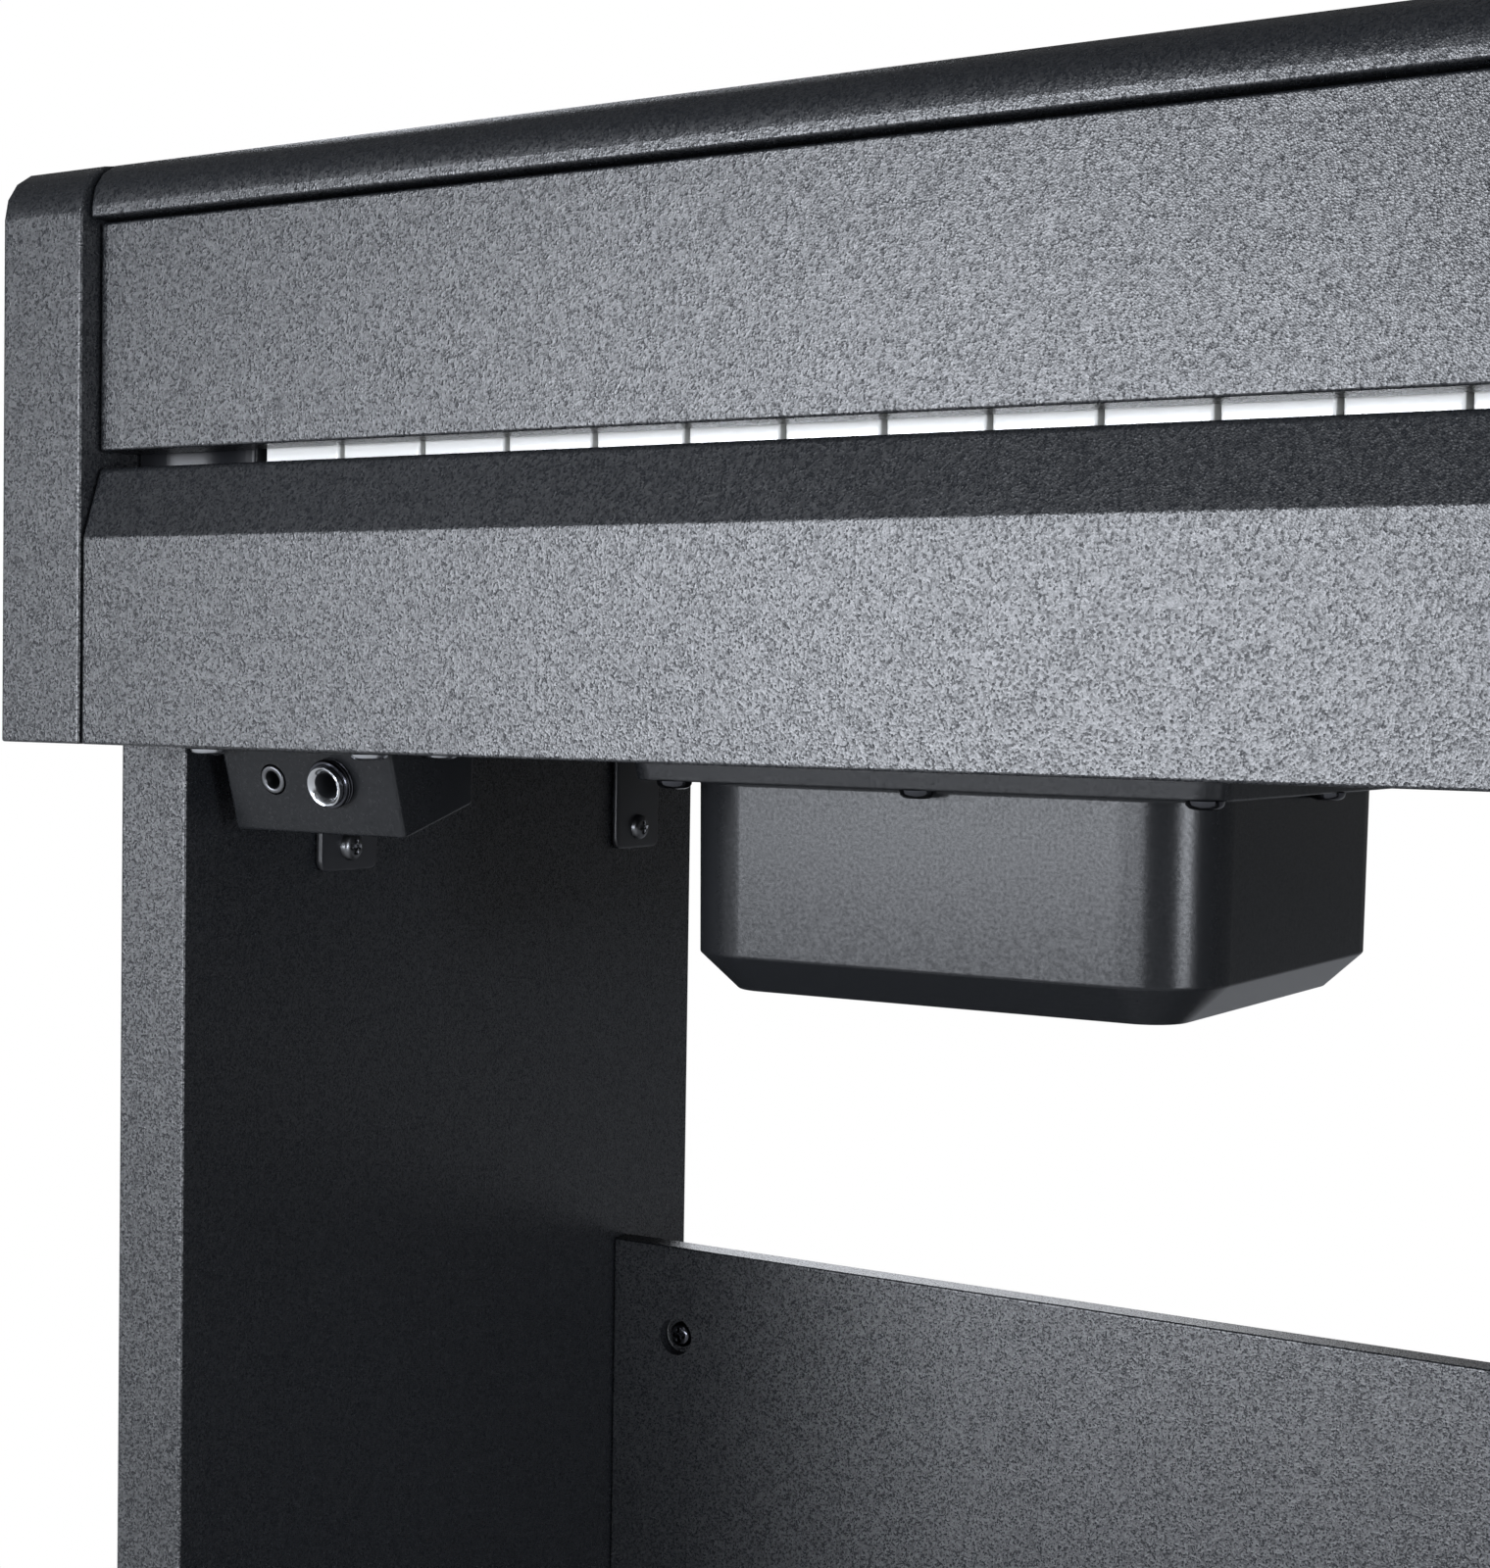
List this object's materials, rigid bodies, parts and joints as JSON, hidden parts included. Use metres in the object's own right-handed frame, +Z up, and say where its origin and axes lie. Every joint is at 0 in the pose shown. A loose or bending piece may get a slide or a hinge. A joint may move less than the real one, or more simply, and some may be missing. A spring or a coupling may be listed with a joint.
{
  "type": "digital piano",
  "caption": "Slim upright digital piano: folding lid, weighted-style keyboard, two-board stand, three pedals, headphone box and speaker boxes below",
  "frame": {"origin": "on the floor under the middle of the instrument", "axes": "+X along the keyboard to the high notes, -Y to the player, +Z up"},
  "size_m": [1.353, 0.318, 0.7942],
  "materials": {
    "laminate": "pebbled satin black laminate",
    "ivory": "glossy white",
    "ebony": "matte black",
    "gloss": "glossy black",
    "plastic": "fine matte black",
    "satin": "satin black",
    "button": "satin dark grey",
    "chassis": "moulded grey",
    "circuit": "solder mask",
    "steel": "black coated",
    "chrome": "plated",
    "brass": "polished",
    "rubber": "matte"
  },
  "bodies": {
    "piano": {"cheek_left": "laminate", "cheek_right": "laminate", "front_rail": "laminate", "bottom_board": "laminate", "back_panel": "laminate", "rear_top_rail": "laminate", "leg_left": "laminate", "leg_right": "laminate", "panel_cleat_left": "laminate", "panel_cleat_right": "laminate", "modesty_panel": "laminate", "pedal_beam": "laminate", "key_block_left": "gloss", "key_block_right": "gloss", "jack_box": "plastic", "speaker_box_left": "plastic", "speaker_box_right": "plastic", "control_panel": "satin", "dc_inlet": "satin", "jack_small": "satin", "speaker_driver_left": "satin", "speaker_driver_right": "satin", "key_frame": "chassis", "main_board": "circuit", "lid_hinge": "steel", "speaker_grille_left": "steel", "speaker_grille_right": "steel", "bracket_front_left": "steel", "bracket_front_right": "steel", "bracket_rear_left": "steel", "bracket_rear_right": "steel", "pedal_bracket": "steel", "jack_large": "chrome", "foot_strip_left": "rubber", "foot_strip_right": "rubber"},
    "lid": {"lid_top": "laminate", "flap_hinge": "steel"},
    "flap": {"lid_flap": "laminate"},
    "ledge": {"music_ledge": "satin"},
    "power_button": {"power_button": "button"},
    "function_button": {"function_button": "button"},
    "volume_knob": {"volume_knob": "button"},
    "pedal_left": {"pedal_left": "brass"},
    "pedal_middle": {"pedal_middle": "brass"},
    "pedal_right": {"pedal_right": "brass"},
    "levelling_foot": {"levelling_foot": "satin"},
    "white_keys_1": {"white_keys_1": "ivory"},
    "black_keys_1": {"black_keys_1": "ebony"},
    "white_keys_2": {"white_keys_2": "ivory"},
    "black_keys_2": {"black_keys_2": "ebony"},
    "white_keys_3": {"white_keys_3": "ivory"},
    "black_keys_3": {"black_keys_3": "ebony"},
    "white_keys_4": {"white_keys_4": "ivory"},
    "black_keys_4": {"black_keys_4": "ebony"},
    "white_keys_5": {"white_keys_5": "ivory"},
    "black_keys_5": {"black_keys_5": "ebony"},
    "white_keys_6": {"white_keys_6": "ivory"},
    "black_keys_6": {"black_keys_6": "ebony"},
    "white_keys_7": {"white_keys_7": "ivory"},
    "black_keys_7": {"black_keys_7": "ebony"}
  },
  "joints": [
    {"name": "lid_open", "type": "hinge", "parent": "piano", "child": "lid", "pos_m": [0, 0.1234, 0.7927], "axis": [-1, 0, 0], "range_deg": [0, 97]},
    {"name": "flap_fold", "type": "hinge", "parent": "lid", "child": "flap", "pos_m": [0, -0.1411, 0.7747], "axis": [1, 0, 0], "range_deg": [0, 90]},
    {"name": "ledge_fold", "type": "hinge", "parent": "lid", "child": "ledge", "pos_m": [0, 0.0828, 0.7738], "axis": [1, 0, 0], "range_deg": [0, 90]},
    {"name": "white_keys_1_press", "type": "hinge", "parent": "piano", "child": "white_keys_1", "pos_m": [0, 0.06, 0.7136], "axis": [1, 0, 0], "range_deg": [0, 2.9], "stiffness_Nm_per_rad": 6.5, "springref_deg": -11.46},
    {"name": "black_keys_1_press", "type": "hinge", "parent": "piano", "child": "black_keys_1", "pos_m": [0, 0.06, 0.7136], "axis": [1, 0, 0], "range_deg": [0, 2.9], "stiffness_Nm_per_rad": 3, "springref_deg": -8.59},
    {"name": "white_keys_2_press", "type": "hinge", "parent": "piano", "child": "white_keys_2", "pos_m": [0, 0.06, 0.7136], "axis": [1, 0, 0], "range_deg": [0, 2.9], "stiffness_Nm_per_rad": 5, "springref_deg": -11.46},
    {"name": "black_keys_2_press", "type": "hinge", "parent": "piano", "child": "black_keys_2", "pos_m": [0, 0.06, 0.7136], "axis": [1, 0, 0], "range_deg": [0, 2.9], "stiffness_Nm_per_rad": 3, "springref_deg": -8.59},
    {"name": "white_keys_3_press", "type": "hinge", "parent": "piano", "child": "white_keys_3", "pos_m": [0, 0.06, 0.7136], "axis": [1, 0, 0], "range_deg": [0, 2.9], "stiffness_Nm_per_rad": 5, "springref_deg": -11.46},
    {"name": "black_keys_3_press", "type": "hinge", "parent": "piano", "child": "black_keys_3", "pos_m": [0, 0.06, 0.7136], "axis": [1, 0, 0], "range_deg": [0, 2.9], "stiffness_Nm_per_rad": 3, "springref_deg": -8.59},
    {"name": "white_keys_4_press", "type": "hinge", "parent": "piano", "child": "white_keys_4", "pos_m": [0, 0.06, 0.7136], "axis": [1, 0, 0], "range_deg": [0, 2.9], "stiffness_Nm_per_rad": 5, "springref_deg": -11.46},
    {"name": "black_keys_4_press", "type": "hinge", "parent": "piano", "child": "black_keys_4", "pos_m": [0, 0.06, 0.7136], "axis": [1, 0, 0], "range_deg": [0, 2.9], "stiffness_Nm_per_rad": 3, "springref_deg": -8.59},
    {"name": "white_keys_5_press", "type": "hinge", "parent": "piano", "child": "white_keys_5", "pos_m": [0, 0.06, 0.7136], "axis": [1, 0, 0], "range_deg": [0, 2.9], "stiffness_Nm_per_rad": 5, "springref_deg": -11.46},
    {"name": "black_keys_5_press", "type": "hinge", "parent": "piano", "child": "black_keys_5", "pos_m": [0, 0.06, 0.7136], "axis": [1, 0, 0], "range_deg": [0, 2.9], "stiffness_Nm_per_rad": 3, "springref_deg": -8.59},
    {"name": "white_keys_6_press", "type": "hinge", "parent": "piano", "child": "white_keys_6", "pos_m": [0, 0.06, 0.7136], "axis": [1, 0, 0], "range_deg": [0, 2.9], "stiffness_Nm_per_rad": 5, "springref_deg": -11.46},
    {"name": "black_keys_6_press", "type": "hinge", "parent": "piano", "child": "black_keys_6", "pos_m": [0, 0.06, 0.7136], "axis": [1, 0, 0], "range_deg": [0, 2.9], "stiffness_Nm_per_rad": 3, "springref_deg": -8.59},
    {"name": "white_keys_7_press", "type": "hinge", "parent": "piano", "child": "white_keys_7", "pos_m": [0, 0.06, 0.7136], "axis": [1, 0, 0], "range_deg": [0, 2.9], "stiffness_Nm_per_rad": 5.5, "springref_deg": -11.46},
    {"name": "black_keys_7_press", "type": "hinge", "parent": "piano", "child": "black_keys_7", "pos_m": [0, 0.06, 0.7136], "axis": [1, 0, 0], "range_deg": [0, 2.9], "stiffness_Nm_per_rad": 3, "springref_deg": -8.59},
    {"name": "pedal_left_press", "type": "hinge", "parent": "piano", "child": "pedal_left", "pos_m": [-0.07, 0.056, 0.066], "axis": [1, 0, 0], "range_deg": [0, 6], "stiffness_Nm_per_rad": 12, "springref_deg": -6.88},
    {"name": "pedal_middle_press", "type": "hinge", "parent": "piano", "child": "pedal_middle", "pos_m": [0, 0.056, 0.066], "axis": [1, 0, 0], "range_deg": [0, 6], "stiffness_Nm_per_rad": 12, "springref_deg": -6.88},
    {"name": "pedal_right_press", "type": "hinge", "parent": "piano", "child": "pedal_right", "pos_m": [0.07, 0.056, 0.066], "axis": [1, 0, 0], "range_deg": [0, 6], "stiffness_Nm_per_rad": 12, "springref_deg": -6.88},
    {"name": "power_button_press", "type": "slide", "parent": "piano", "child": "power_button", "axis": [0, 0, -1], "range_m": [0, 0.0012], "stiffness_N_per_m": 400, "springref_m": -0.001},
    {"name": "function_button_press", "type": "slide", "parent": "piano", "child": "function_button", "axis": [0, 0, -1], "range_m": [0, 0.0012], "stiffness_N_per_m": 400, "springref_m": -0.001},
    {"name": "volume_turn", "type": "hinge", "parent": "piano", "child": "volume_knob", "pos_m": [-0.38, 0.033, 0.7424], "axis": [0, 0, -1], "range_deg": [0, 270]},
    {"name": "levelling_screw", "type": "slide", "parent": "piano", "child": "levelling_foot", "axis": [0, 0, 1], "range_m": [0, 0.008]}
  ],
  "couplings": [
    {"joint": "flap_fold", "follows": "lid_open", "ratio": 0.9278}
  ]
}
